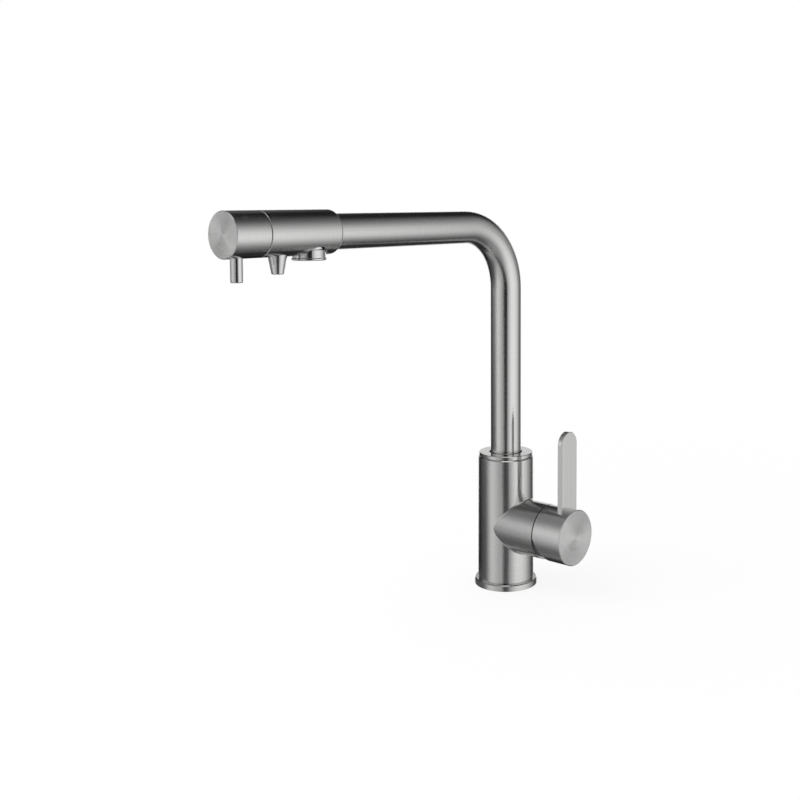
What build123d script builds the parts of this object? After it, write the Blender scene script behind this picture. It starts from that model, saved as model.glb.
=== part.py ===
from build123d import *
import math
import os

# A kitchen mixer tap with a swivel spout, a side lever for mixed hot and cold water, and a small
# turning knob at the spout's end for filtered water.
# Millimetres. The origin is on the riser's axis where the base meets the worktop, +Z up.
# The spout points along -Y at rest, and the lever's knob lies along +X.

# Clearances
fit_gap = 0.02        # between pieces fixed one inside the other
running_gap = 0.05    # round a shaft or ring that turns in its hole
thrust_gap = 0.1      # between flat faces that turn past each other

# Base and body
flange_w = 2.75       # past the body
flange_h = 5.0
flange_edge = 0.6
gasket_w = 1.6
gasket_h = 1.5
gasket_inset = 1.4    # from the flange's edge to the gasket
body_d = 45.3
body_wall = 2.5
body_h = 101.2        # from the flange to the body's top edge
body_edge = 0.7
branch_fillet = 1.0   # where the branch leaves the body

# Cap ring on the body
cap_ring_inset = 0.65
cap_ring_h = 2.7
cap_groove_h = 0.6    # dark line below the ring
cap_spigot_h = 2.8
cap_hole_gap = 0.9    # open gap round the riser
cap_edge = 0.4

# Spout tube
spout_d = 25.0
spout_wall = 1.5
bend_r = 50.0
arm_z = 294.0
spout_in_body = 15.5  # length of riser below the core's top

# Swivel joint inside the body
ferrule_step = 0.5    # the spigot's radius over the tube's
ferrule_wall = 2.0
collar_w = 2.0
collar_h = 3.0
bearing_w = 0.6       # the bearing bore's radius over the collar's
lower_bearing_h = 1.5
upper_bearing_h = 12.0
clip_h = 1.2
clip_depth = 1.0
clip_opening = 5.0
ring_section_d = 1.6  # rubber rings of the swivel
ferrule_ring_pitch = 8.0
mixing_chamber_h = 8.4

# Filtered water tube inside the riser
filter_tube_d = 8.0
filter_tube_wall = 0.8
filter_socket_depth = 12.0
filter_tube_end_gap = 2.0
filter_ring_section_d = 1.5

# Threaded holes in the core's foot
stud_hole_d = 6.8     # M8
stud_hole_depth = 25.0
inlet_hole_d = 9.0    # M10 x 1
inlet_depth = 12.0
mixed_inlet_x = 8.0
mixed_inlet_y = 9.0
filter_inlet_x = 12.0
channel_d = 7.0
filter_channel_d = 5.0

# Lever cartridge in the side branch, from the seat outwards
handle_drop = 55.6    # from the body's top edge to the lever's axis
cartridge_d = 35.0
branch_inset = 0.65   # branch radius under the body's
seat_wall = 5.0       # between the swivel bore and the cartridge seat
port_d = 6.0
inlet_port_y = 7.0
inlet_port_drop = 4.5
mixed_port_rise = 8.0
port_seal_major_r = 4.6
port_seal_d = 1.8
cartridge_base_h = 5.0
disc_h = 3.5
chamber_wall = 3.5
disc_side_gap = 1.0
slider_h = 5.0
slider_w = 16.0
carrier_d = 24.5
carrier_flange_h = 2.0
carrier_slot_h = 14.4
rail_w = 2.8
rail_l = 16.0
shoulder_h = 2.0
neck_wall = 2.2
neck_rise = 5.3       # cartridge neck past the pivot
pivot_rise = 14.65    # from the moving disc's face to the pivot
pivot_pin_d = 3.0
pivot_pin_inset = 0.45   # from the carrier's side to the pin's end
nut_h = 4.6           # ends inside the branch
nut_notch_w = 4.0
nut_notch_h = 1.8

# Stem of the cartridge
ball_d = 6.0
ball_rise = 3.2
ball_gap = 0.12
stem_neck_d = 4.0
stem_neck_end = 5.2   # from the pivot back to where the neck starts
stem_hub_w = 9.8
stem_w = 8.0
lift_angle = 20.0     # largest tilt of the lever
slide_ratio = 11.25   # mm of disc travel per radian of lift

# Lever knob and plate
knob_gap = 1.0
pivot_out = 0.5       # pivot past the branch's end
knob_len = 26.2
knob_edge = 0.5
knob_wall = 1.2
dome_wall = 1.0
dome_gap = 0.4
dome_opening = 44.0   # half angle of the dome's opening
boss_d = 14.0
boss_start = 15.3     # from the pivot to the knob's boss
stem_bore_end = 2.4   # metal left past the stem
screw_d = 4.0
screw_l = 6.5
screw_from_end = 4.5
plate_from_end = 6.4
plate_t = 4.3
plate_w = 20.0
plate_h = 83.4        # from the lever's axis to the plate's top
plate_edge = 0.4
plate_root_wall = 0.9

# Spout head
head_d = 30.7
head_start = 187.5    # from the riser's axis
head_len = 60.5
head_shoulder = 2.6   # rounding
head_rim = 0.2        # flat left between the rounding and the tube
head_socket = 5.0
head_chamber_d = 13.0
head_chamber_l = 18.0
head_filter_socket = 5.0
head_edge = 0.3

# Aerator
aerator_place = 18.3  # from the head's start
aerator_out = 3.15    # below the head
aerator_recess = 6.5  # up into the head
aerator_recess_gap = 0.5
aerator_foot_d = 23.6
aerator_foot_h = 1.2
aerator_drum_in = 0.6 # from the foot's side
aerator_drum_h = 7.4  # with the foot
aerator_collar_in = 1.1
aerator_collar_h = 1.0
aerator_groove_in = 1.6
aerator_groove_h = 0.5
aerator_edge = 0.5
aerator_neck_d = 17.0
aerator_neck_h = 2.85
aerator_bore_d = 15.2
aerator_outlet_d = 11.6
insert_recess = 0.6
insert_h = 7.0
insert_floor = 1.0
insert_wall = 0.9
insert_hole_d = 1.3
insert_hole_pitch = 2.2
insert_hole_rows = 5
washer_h = 1.0

# Filtered water nozzle
nozzle_place = 45.0   # from the head's start
nozzle_out = 11.35    # below the head
nozzle_bottom_d = 8.2
nozzle_taper_h = 10.3 # over which it grows to the next width
nozzle_taper_d = 12.1
nozzle_recess = 1.45  # up into the head
nozzle_neck_d = 8.0
nozzle_neck_h = 4.5
nozzle_bore_d = 4.4
nozzle_edge = 0.7

# Filtered water valve in the head
valve_seat_place = 33.5  # from the head's start
valve_bore_d = 18.0
valve_seat_h = 1.5
valve_fixed_h = 3.0
valve_moving_h = 2.5
valve_flange_h = 2.5
valve_chamber_l = 5.5
valve_sleeve_wall = 1.4
valve_hole_d = 4.0
valve_hole_r = 4.0
spindle_d = 8.0
spindle_in_knob = 20.0
spindle_ring_in = 8.0    # from the head's end
spindle_ring_section_d = 1.2
valve_knob_gap = 0.5
valve_knob_len = 26.9
valve_knob_edge = 0.5
lever_pin_place = 16.6   # from the knob's start
lever_pin_d = 8.2
lever_pin_out = 15.05    # below the knob
lever_pin_edge = 0.8
lever_pin_depth = 2.4
lever_pin_stub_d = 5.0
lever_pin_bite = 0.9

# Radii and places that follow
body_r = body_d / 2
flange_r = body_r + flange_w
cap_ring_r = body_r - cap_ring_inset
body_top_z = flange_h + body_h
body_bore_r = body_r - body_wall
core_r = body_bore_r - fit_gap
core_top_z = body_top_z + cap_groove_h - cap_spigot_h
gasket_outer_r = flange_r - gasket_inset
gasket_inner_r = gasket_outer_r - gasket_w

spout_r = spout_d / 2
spout_bore_r = spout_r - spout_wall
spout_foot_z = core_top_z - spout_in_body
filter_tube_r = filter_tube_d / 2

swivel_r = spout_r + ferrule_step
swivel_bore_r = swivel_r + running_gap
collar_r = swivel_r + collar_w
bearing_bore_r = collar_r + bearing_w
collar_z = spout_foot_z - collar_h
bearing_floor_z = collar_z - thrust_gap - lower_bearing_h
clip_z = spout_foot_z + thrust_gap
clip_r = bearing_bore_r + clip_depth
clip_bore_r = spout_r + ferrule_step
upper_bearing_z = core_top_z - upper_bearing_h
port_r = port_d / 2
handle_z = body_top_z - handle_drop
swivel_floor_z = handle_z + mixed_port_rise - port_r
ferrule_bore_r = spout_bore_r - ferrule_wall
ferrule_foot_z = swivel_floor_z + mixing_chamber_h
ring_r = ring_section_d / 2
ferrule_ring_z = (ferrule_foot_z + collar_z - ferrule_ring_pitch) / 2
ferrule_ring_heights = [ferrule_ring_z + i * ferrule_ring_pitch for i in range(2)]
filter_socket_z = swivel_floor_z - filter_socket_depth
filter_tube_foot_z = filter_socket_z + filter_tube_end_gap
filter_ring_z = swivel_floor_z - filter_socket_depth / 2
filter_ring_r = filter_ring_section_d / 2
filter_channel_z = filter_socket_z - filter_channel_d

cartridge_r = cartridge_d / 2
cartridge_bore_r = cartridge_r + thrust_gap
branch_r = body_r - branch_inset
chamber_r = cartridge_r - chamber_wall
disc_travel = slide_ratio * math.radians(lift_angle)
moving_disc_r = chamber_r - disc_travel / 2 - disc_side_gap
seat_x = swivel_bore_r + seat_wall
fixed_disc_x = seat_x + cartridge_base_h
moving_disc_x = fixed_disc_x + disc_h
slider_x = moving_disc_x + disc_h
carrier_x = slider_x + slider_h + thrust_gap
chamber_end_x = carrier_x + carrier_flange_h + thrust_gap
shoulder_x = chamber_end_x + shoulder_h
pivot_x = slider_x + pivot_rise
neck_end_x = pivot_x + neck_rise
branch_end_x = pivot_x - pivot_out
ball_x = slider_x + ball_rise
carrier_r = carrier_d / 2
carrier_slot_w = stem_hub_w + 2 * thrust_gap
pivot_pin_l = 2 * (carrier_r - pivot_pin_inset)
neck_bore_r = carrier_r + running_gap
neck_r = neck_bore_r + neck_wall

knob_r = branch_r
knob_x = branch_end_x + knob_gap
knob_end_x = knob_x + knob_len
cavity_r = knob_r - knob_wall
dome_r = cavity_r - dome_gap
dome_bore_r = dome_r - dome_wall
dome_foot_angle = math.degrees(math.acos((branch_end_x - pivot_x) / dome_r))
dome_bore_angle = math.degrees(math.acos((branch_end_x - pivot_x) / dome_bore_r))
cavity_angle = math.degrees(math.acos((knob_x - pivot_x) / cavity_r))
boss_angle = math.degrees(math.asin(boss_d / 2 / cavity_r))
stem_end_x = knob_end_x - stem_bore_end
plate_x = knob_end_x - plate_from_end - plate_t
plate_cavity_h = math.sqrt(max(cavity_r ** 2 - (plate_x - pivot_x) ** 2, 0))
plate_foot_z = handle_z + plate_cavity_h + plate_root_wall
plate_round_z = handle_z + plate_h - plate_w / 2

head_r = head_d / 2
head_bottom_z = arm_z - head_r
head_end = head_start + head_len
spout_end = head_start + head_socket
head_chamber_end = spout_end + head_chamber_l
filter_tube_end = head_chamber_end + head_filter_socket
aerator_s = head_start + aerator_place
aerator_bottom_z = head_bottom_z - aerator_out
aerator_top_z = head_bottom_z + aerator_recess
aerator_foot_r = aerator_foot_d / 2
aerator_drum_r = aerator_foot_r - aerator_drum_in
aerator_groove_r = aerator_foot_r - aerator_groove_in
aerator_collar_r = aerator_foot_r - aerator_collar_in
aerator_foot_z = aerator_bottom_z + aerator_foot_h
aerator_drum_z = aerator_bottom_z + aerator_drum_h
aerator_collar_z = aerator_drum_z + aerator_groove_h
aerator_bore_r = aerator_bore_d / 2
insert_z = aerator_bottom_z + insert_recess
washer_z = insert_z + insert_h

nozzle_s = head_start + nozzle_place
nozzle_bottom_z = head_bottom_z - nozzle_out
nozzle_seat_z = head_bottom_z + nozzle_recess
nozzle_slope = (nozzle_taper_d - nozzle_bottom_d) / 2 / nozzle_taper_h
nozzle_top_r = nozzle_bottom_d / 2 + nozzle_slope * (nozzle_seat_z - nozzle_bottom_z)
valve_bore_r = valve_bore_d / 2
valve_seat_s = head_start + valve_seat_place
valve_fixed_s = valve_seat_s + valve_seat_h
valve_moving_s = valve_fixed_s + valve_fixed_h
valve_flange_s = valve_moving_s + valve_moving_h
valve_chamber_s = valve_flange_s + valve_flange_h
valve_chamber_end = valve_chamber_s + valve_chamber_l
valve_sleeve_r = valve_bore_r - fit_gap
valve_sleeve_bore_r = valve_sleeve_r - valve_sleeve_wall
valve_disc_r = valve_sleeve_bore_r - running_gap
spindle_r = spindle_d / 2
spindle_ring_s = head_end - spindle_ring_in
valve_knob_s = head_end + valve_knob_gap
valve_knob_end = valve_knob_s + valve_knob_len
spindle_end = valve_knob_s + spindle_in_knob
lever_pin_s = valve_knob_s + lever_pin_place
lever_pin_r = lever_pin_d / 2
lever_pin_bottom_z = head_bottom_z - lever_pin_out
lever_pin_seat_z = head_bottom_z + lever_pin_depth
lever_pin_top_z = arm_z - spindle_r + lever_pin_bite

# Section planes and axes: x runs along the lever's axis or the arm, y is height over that axis
lever_section = Plane(origin=(0, 0, handle_z), x_dir=(1, 0, 0), z_dir=(0, -1, 0))
lever_axis = Axis((0, 0, handle_z), (1, 0, 0))
arm_section = Plane(origin=(0, 0, arm_z), x_dir=(0, -1, 0), z_dir=(-1, 0, 0))
arm_axis = Axis((0, 0, arm_z), (0, -1, 0))


def across_lever(distance):
    """Plane across the lever's axis, facing outwards, with y up."""
    return Plane(origin=(distance, 0, handle_z), x_dir=(0, 1, 0), z_dir=(1, 0, 0))


def across_arm(distance):
    """Plane across the arm, facing its end, with y up."""
    return Plane(origin=(0, -distance, arm_z), x_dir=(1, 0, 0), z_dir=(0, -1, 0))


def below_arm(distance, height):
    """Level plane under the arm, centred on its axis."""
    return Plane(origin=(0, -distance, height), x_dir=(1, 0, 0), z_dir=(0, 0, 1))


def annulus(outer_r, inner_r):
    """Ring in the sketch that is open."""
    Circle(outer_r)
    Circle(inner_r, mode=Mode.SUBTRACT)


def outline(*points):
    """Closed straight outline in the sketch that is open."""
    Polygon(*points, align=None)


# Base flange, with a groove for the gasket
with BuildPart() as base_flange:
    with BuildSketch():
        annulus(flange_r, core_r + fit_gap)
    extrude(amount=flange_h)
    with BuildSketch():
        annulus(gasket_outer_r + fit_gap, gasket_inner_r - fit_gap)
    extrude(amount=gasket_h, mode=Mode.SUBTRACT)
    chamfer(base_flange.edges().group_by(Axis.Z)[-1].sort_by(SortBy.RADIUS)[-1], flange_edge)
base_flange.part.label = "base_flange"

# Rubber gasket on the worktop
with BuildPart() as deck_gasket:
    with BuildSketch():
        annulus(gasket_outer_r, gasket_inner_r)
    extrude(amount=gasket_h - fit_gap)
deck_gasket.part.label = "deck_gasket"

# Body shell: an upright tube with the side branch for the cartridge
with BuildPart() as body_shell:
    with BuildSketch(Plane.XY.offset(flange_h)):
        Circle(body_r)
    extrude(amount=body_h)
    chamfer(body_shell.edges().group_by(Axis.Z)[-1], body_edge)
    with BuildSketch(across_lever(0)):
        Circle(branch_r)
    extrude(amount=branch_end_x)
    fillet(body_shell.edges().filter_by(GeomType.BSPLINE), branch_fillet)
    with BuildSketch(Plane.XY.offset(flange_h)):
        Circle(body_bore_r)
    extrude(amount=body_h, mode=Mode.SUBTRACT)
    with BuildSketch(across_lever(seat_x)):
        Circle(cartridge_bore_r)
    extrude(amount=branch_end_x - seat_x, mode=Mode.SUBTRACT)
body_shell.part.label = "body_shell"

# Brass core: swivel bore above, cartridge seat at the side, threaded holes below
with BuildPart() as valve_core:
    with BuildSketch():
        Circle(core_r)
    extrude(amount=core_top_z)
    with BuildSketch(Plane.XZ):
        outline(
            (0, swivel_floor_z),
            (swivel_bore_r, swivel_floor_z),
            (swivel_bore_r, bearing_floor_z),
            (bearing_bore_r, bearing_floor_z),
            (bearing_bore_r, core_top_z),
            (0, core_top_z),
        )
    revolve(axis=Axis.Z, mode=Mode.SUBTRACT)
    with BuildSketch(Plane.XY.offset(clip_z - fit_gap)):
        Circle(clip_r + fit_gap)
    extrude(amount=clip_h + 2 * fit_gap, mode=Mode.SUBTRACT)
    with BuildSketch(across_lever(seat_x)):
        Circle(cartridge_bore_r)
    extrude(amount=core_r, mode=Mode.SUBTRACT)
    # Mixed water from the seat into the swivel chamber
    with BuildSketch(across_lever(swivel_r)):
        with Locations((0, mixed_port_rise)):
            Circle(port_r)
    extrude(amount=seat_x - swivel_r, both=True, mode=Mode.SUBTRACT)
    # Hot and cold water: threaded inlets, risers and ports
    with BuildSketch():
        with Locations((mixed_inlet_x, mixed_inlet_y), (mixed_inlet_x, -mixed_inlet_y)):
            Circle(inlet_hole_d / 2)
    extrude(amount=inlet_depth, mode=Mode.SUBTRACT)
    with BuildSketch():
        with Locations((mixed_inlet_x, mixed_inlet_y), (mixed_inlet_x, -mixed_inlet_y)):
            Circle(channel_d / 2)
    extrude(amount=handle_z - inlet_port_drop + port_r, mode=Mode.SUBTRACT)
    with BuildSketch(across_lever(seat_x)):
        with Locations((inlet_port_y, -inlet_port_drop), (-inlet_port_y, -inlet_port_drop)):
            Circle(port_r)
    extrude(amount=mixed_inlet_x - seat_x, mode=Mode.SUBTRACT)
    # Filtered water: threaded inlet, riser, cross channel and the tube's socket
    with BuildSketch():
        with Locations((-filter_inlet_x, 0)):
            Circle(inlet_hole_d / 2)
    extrude(amount=inlet_depth, mode=Mode.SUBTRACT)
    with BuildSketch():
        with Locations((-filter_inlet_x, 0)):
            Circle(filter_channel_d / 2)
    extrude(amount=filter_channel_z, mode=Mode.SUBTRACT)
    with BuildSketch(Plane.YZ.offset(-filter_inlet_x)):
        with Locations((0, filter_channel_z)):
            Circle(filter_channel_d / 2)
    extrude(amount=filter_inlet_x, mode=Mode.SUBTRACT)
    with BuildSketch(Plane.XY.offset(filter_channel_z)):
        Circle(filter_channel_d / 2)
    extrude(amount=filter_channel_d, mode=Mode.SUBTRACT)
    with BuildSketch(Plane.XY.offset(filter_socket_z)):
        Circle(filter_tube_r + running_gap)
    extrude(amount=filter_socket_depth, mode=Mode.SUBTRACT)
    with BuildSketch(Plane.XY.offset(filter_ring_z - filter_ring_r)):
        Circle(filter_tube_r + running_gap + filter_ring_section_d)
    extrude(amount=filter_ring_section_d, mode=Mode.SUBTRACT)
    # Fixing stud
    with BuildSketch():
        Circle(stud_hole_d / 2)
    extrude(amount=stud_hole_depth, mode=Mode.SUBTRACT)
valve_core.part.label = "valve_core"

# Rubber ring that seals the filtered water tube in its socket
with BuildPart() as filter_socket_ring:
    with Locations((0, 0, filter_ring_z)):
        Torus(filter_tube_r + running_gap + filter_ring_r, filter_ring_r - fit_gap)
filter_socket_ring.part.label = "filter_socket_ring"

# Cap ring screwed into the body's top
with BuildPart() as spout_cap_ring:
    with BuildSketch(Plane.XY.offset(core_top_z)):
        annulus(body_bore_r - fit_gap, spout_r + cap_hole_gap)
    extrude(amount=cap_spigot_h)
    with BuildSketch(Plane.XY.offset(core_top_z + cap_spigot_h)):
        annulus(cap_ring_r, spout_r + cap_hole_gap)
    extrude(amount=cap_ring_h)
    chamfer(spout_cap_ring.edges().group_by(Axis.Z)[-1], cap_edge)
spout_cap_ring.part.label = "spout_cap_ring"

# Bearings and retaining clip of the swivel
with BuildPart() as lower_bearing_ring:
    with BuildSketch(Plane.XY.offset(bearing_floor_z)):
        annulus(bearing_bore_r - fit_gap, swivel_r + running_gap)
    extrude(amount=lower_bearing_h)
lower_bearing_ring.part.label = "lower_bearing_ring"

with BuildPart() as upper_bearing_ring:
    with BuildSketch(Plane.XY.offset(upper_bearing_z)):
        annulus(bearing_bore_r - fit_gap, spout_r + running_gap)
    extrude(amount=upper_bearing_h)
upper_bearing_ring.part.label = "upper_bearing_ring"

with BuildPart() as spout_circlip:
    with BuildSketch(Plane.XY.offset(clip_z)):
        annulus(clip_r, clip_bore_r)
        with Locations((clip_r, 0)):
            Rectangle(clip_r, clip_opening, mode=Mode.SUBTRACT)
    extrude(amount=clip_h)
spout_circlip.part.label = "spout_circlip"

# Cartridge base with its three ports, and their seals
with BuildPart() as cartridge_base:
    with BuildSketch(across_lever(seat_x)):
        Circle(cartridge_r)
        with Locations(
            (inlet_port_y, -inlet_port_drop), (-inlet_port_y, -inlet_port_drop), (0, mixed_port_rise)
        ):
            Circle(port_r, mode=Mode.SUBTRACT)
    extrude(amount=cartridge_base_h)
    with BuildSketch(across_lever(seat_x)):
        with Locations(
            (inlet_port_y, -inlet_port_drop), (-inlet_port_y, -inlet_port_drop), (0, mixed_port_rise)
        ):
            annulus(port_seal_major_r + port_seal_d / 2, port_seal_major_r - port_seal_d / 2)
    extrude(amount=port_seal_d, mode=Mode.SUBTRACT)
cartridge_base.part.label = "cartridge_base"

with BuildPart() as cartridge_seals:
    with Locations(
        (seat_x + port_seal_d / 2, inlet_port_y, handle_z - inlet_port_drop),
        (seat_x + port_seal_d / 2, -inlet_port_y, handle_z - inlet_port_drop),
        (seat_x + port_seal_d / 2, 0, handle_z + mixed_port_rise),
    ):
        Torus(port_seal_major_r, port_seal_d / 2 - fit_gap, rotation=(0, 90, 0))
cartridge_seals.part.label = "cartridge_seals"

# Ceramic discs: the fixed one carries the ports, the other slides and turns on it
with BuildPart() as ceramic_fixed_disc:
    with BuildSketch(across_lever(fixed_disc_x)):
        Circle(chamber_r - thrust_gap)
        with Locations(
            (inlet_port_y, -inlet_port_drop), (-inlet_port_y, -inlet_port_drop), (0, mixed_port_rise)
        ):
            Circle(port_r, mode=Mode.SUBTRACT)
    extrude(amount=disc_h)
ceramic_fixed_disc.part.label = "ceramic_fixed_disc"

with BuildPart() as ceramic_moving_disc:
    with BuildSketch(across_lever(moving_disc_x)):
        with Locations((0, -disc_travel / 2)):
            Circle(moving_disc_r)
    extrude(amount=disc_h)
    with BuildSketch(across_lever(moving_disc_x)):
        with Locations((0, mixed_port_rise / 2 - disc_travel / 2)):
            Ellipse(port_d, port_r)
    extrude(amount=disc_h / 2, mode=Mode.SUBTRACT)
ceramic_moving_disc.part.label = "ceramic_moving_disc"

# Slider: holds the moving disc and has the socket for the stem's ball
with BuildPart() as disc_slider:
    with BuildSketch(across_lever(slider_x)):
        with Locations((0, -disc_travel / 2)):
            Circle(moving_disc_r)
        Rectangle(slider_w, 4 * moving_disc_r, mode=Mode.INTERSECT)
    extrude(amount=slider_h)
    with BuildSketch(across_lever(slider_x)):
        Circle(ball_d / 2 + ball_gap)
    extrude(amount=slider_h, mode=Mode.SUBTRACT)
disc_slider.part.label = "disc_slider"

# Cartridge housing: disc chamber, shoulder and neck
with BuildPart() as cartridge_housing:
    with BuildSketch(lever_section):
        outline(
            (fixed_disc_x, chamber_r),
            (fixed_disc_x, cartridge_r),
            (shoulder_x, cartridge_r),
            (shoulder_x, neck_r),
            (neck_end_x, neck_r),
            (neck_end_x, neck_bore_r),
            (chamber_end_x, neck_bore_r),
            (chamber_end_x, chamber_r),
        )
    revolve(axis=lever_axis)
cartridge_housing.part.label = "cartridge_housing"

# Threaded nut that clamps the cartridge in the branch
with BuildPart() as cartridge_nut:
    with BuildSketch(across_lever(shoulder_x)):
        annulus(cartridge_bore_r - fit_gap, neck_r + thrust_gap)
    extrude(amount=nut_h)
    with BuildSketch(across_lever(shoulder_x + nut_h)):
        Rectangle(2 * cartridge_bore_r, nut_notch_w)
        Rectangle(nut_notch_w, 2 * cartridge_bore_r)
    extrude(amount=-nut_notch_h, mode=Mode.SUBTRACT)
cartridge_nut.part.label = "cartridge_nut"

# Dome that covers the nut inside the knob, a shell about the lever's pivot
with BuildPart() as trim_dome:
    with BuildSketch(lever_section):
        with BuildLine():
            dome_outside = CenterArc((pivot_x, 0), dome_r, dome_opening, dome_foot_angle - dome_opening)
            dome_inside = CenterArc((pivot_x, 0), dome_bore_r, dome_opening, dome_bore_angle - dome_opening)
            Line(dome_outside @ 0, dome_inside @ 0)
            Line(dome_outside @ 1, dome_inside @ 1)
        make_face()
    revolve(axis=lever_axis)
trim_dome.part.label = "trim_dome"

# Carrier: turns with the lever and guides the slider between two rails
with BuildPart() as cartridge_carrier:
    with BuildSketch(across_lever(carrier_x)):
        Circle(chamber_r - thrust_gap)
    extrude(amount=carrier_flange_h)
    with BuildSketch(across_lever(carrier_x)):
        Circle(carrier_r)
    extrude(amount=neck_end_x - carrier_x)
    with BuildSketch(across_lever(carrier_x)):
        with Locations(
            (slider_w / 2 + thrust_gap + rail_w / 2, 0), (-slider_w / 2 - thrust_gap - rail_w / 2, 0)
        ):
            Rectangle(rail_w, rail_l)
    extrude(amount=thrust_gap - slider_h)
    with BuildSketch(across_lever(carrier_x)):
        Rectangle(carrier_slot_w, carrier_slot_h)
    extrude(amount=neck_end_x - carrier_x, mode=Mode.SUBTRACT)
    with BuildSketch(Plane.XZ):
        with Locations((pivot_x, handle_z)):
            Circle(pivot_pin_d / 2 + fit_gap)
    extrude(amount=carrier_r, both=True, mode=Mode.SUBTRACT)
cartridge_carrier.part.label = "cartridge_carrier"

with BuildPart() as pivot_pin:
    with BuildSketch(Plane.XZ):
        with Locations((pivot_x, handle_z)):
            Circle(pivot_pin_d / 2)
    extrude(amount=pivot_pin_l / 2, both=True)
pivot_pin.part.label = "pivot_pin"

# Stem: ball, neck, hub with the pivot hole and square shank
with BuildPart() as cartridge_stem:
    with Locations((ball_x, 0, handle_z)):
        Sphere(ball_d / 2)
    with BuildSketch(across_lever(ball_x)):
        Circle(stem_neck_d / 2)
    extrude(amount=pivot_x - stem_neck_end - ball_x)
    with BuildSketch(across_lever(pivot_x - stem_neck_end)):
        Rectangle(stem_hub_w, stem_w)
    extrude(amount=stem_neck_end + neck_rise)
    with BuildSketch(across_lever(pivot_x)):
        Rectangle(stem_w, stem_w)
    extrude(amount=stem_end_x - pivot_x)
    with BuildSketch(Plane.XZ):
        with Locations((pivot_x, handle_z)):
            Circle(pivot_pin_d / 2 + running_gap)
    extrude(amount=stem_hub_w, both=True, mode=Mode.SUBTRACT)
cartridge_stem.part.label = "cartridge_stem"

# Lever knob: a cup round the dome, with the stem's boss, the plate's slot and a tapered back
with BuildPart() as handle_knob:
    with BuildSketch(lever_section):
        with BuildLine():
            cavity = CenterArc((pivot_x, 0), cavity_r, boss_angle, cavity_angle - boss_angle)
            Polyline(
                cavity @ 1,
                (knob_x, knob_r),
                (knob_end_x - knob_edge, knob_r),
                (knob_end_x, knob_r - knob_edge),
                (knob_end_x, 0),
                (pivot_x + boss_start, 0),
                (pivot_x + boss_start, boss_d / 2),
                cavity @ 0,
            )
        make_face()
    revolve(axis=lever_axis)
    with BuildSketch(across_lever(pivot_x + boss_start)):
        Rectangle(stem_w + 2 * fit_gap, stem_w + 2 * fit_gap)
    extrude(amount=stem_end_x - pivot_x - boss_start + fit_gap, mode=Mode.SUBTRACT)
    with BuildSketch(lever_section):
        outline(
            (knob_x - knob_gap, 0),
            (knob_x, 0),
            (knob_x + 2 * knob_r * math.tan(math.radians(lift_angle)), -2 * knob_r),
            (knob_x - knob_gap, -2 * knob_r),
        )
    extrude(amount=knob_r, both=True, mode=Mode.SUBTRACT)
    with BuildSketch(Plane.XY.offset(plate_foot_z - fit_gap)):
        with Locations((plate_x + plate_t / 2, 0)):
            Rectangle(plate_t + 2 * fit_gap, plate_w + 2 * fit_gap)
    extrude(amount=knob_r, mode=Mode.SUBTRACT)
    with BuildSketch(Plane.XY.offset(handle_z - knob_r)):
        with Locations((knob_end_x - screw_from_end, 0)):
            Circle(screw_d / 2 + fit_gap)
    extrude(amount=knob_r - stem_w / 2, mode=Mode.SUBTRACT)
handle_knob.part.label = "handle_knob"

# Grub screw that holds the knob on the stem
with BuildPart() as handle_grub_screw:
    with BuildSketch(Plane.XY.offset(handle_z - stem_w / 2)):
        with Locations((knob_end_x - screw_from_end, 0)):
            Circle(screw_d / 2)
    extrude(amount=-screw_l)
    with BuildSketch(Plane.XY.offset(handle_z - stem_w / 2 - screw_l)):
        with Locations((knob_end_x - screw_from_end, 0)):
            RegularPolygon(screw_d / 4, side_count=6)
    extrude(amount=screw_l / 3, mode=Mode.SUBTRACT)
handle_grub_screw.part.label = "handle_grub_screw"

# Lever plate with a full round top
with BuildPart() as lever_plate:
    with BuildSketch(across_lever(plate_x)):
        with Locations((0, plate_round_z - handle_z)):
            Circle(plate_w / 2)
        with Locations((0, (plate_round_z + plate_foot_z) / 2 - handle_z)):
            Rectangle(plate_w, plate_round_z - plate_foot_z)
    extrude(amount=plate_t)
    plate_sides = lever_plate.faces().sort_by(Axis.X)
    plate_rims = plate_sides[0].edges() + plate_sides[-1].edges()
    chamfer(plate_rims.filter_by(lambda rim: rim.center().Z > plate_foot_z), plate_edge)
lever_plate.part.label = "lever_plate"

# Spout tube: riser, bend and arm in one piece
with BuildPart() as spout_tube:
    with BuildLine(Plane.YZ) as spout_path:
        FilletPolyline((0, spout_foot_z), (0, arm_z), (-spout_end, arm_z), radius=bend_r)
    with BuildSketch(Plane.XY.offset(spout_foot_z)):
        annulus(spout_r, spout_bore_r)
    sweep(path=spout_path.wire())
spout_tube.part.label = "spout_tube"

# Ferrule on the riser's foot, with a collar and two ring grooves
with BuildPart() as spout_ferrule:
    with BuildSketch(Plane.XZ):
        outline(
            (ferrule_bore_r, ferrule_foot_z),
            (swivel_r, ferrule_foot_z),
            (swivel_r, collar_z),
            (collar_r, collar_z),
            (collar_r, spout_foot_z),
            (spout_bore_r - fit_gap, spout_foot_z),
            (spout_bore_r - fit_gap, core_top_z),
            (ferrule_bore_r, core_top_z),
        )
    revolve(axis=Axis.Z)
    for ring_z in ferrule_ring_heights:
        with BuildSketch(Plane.XY.offset(ring_z - ring_r)):
            annulus(swivel_r, swivel_r - ring_section_d)
        extrude(amount=ring_section_d, mode=Mode.SUBTRACT)
spout_ferrule.part.label = "spout_ferrule"

with BuildPart() as ferrule_rings:
    with Locations([(0, 0, ring_z) for ring_z in ferrule_ring_heights]):
        Torus(swivel_r - ring_r, ring_r - fit_gap)
ferrule_rings.part.label = "ferrule_rings"

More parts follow.
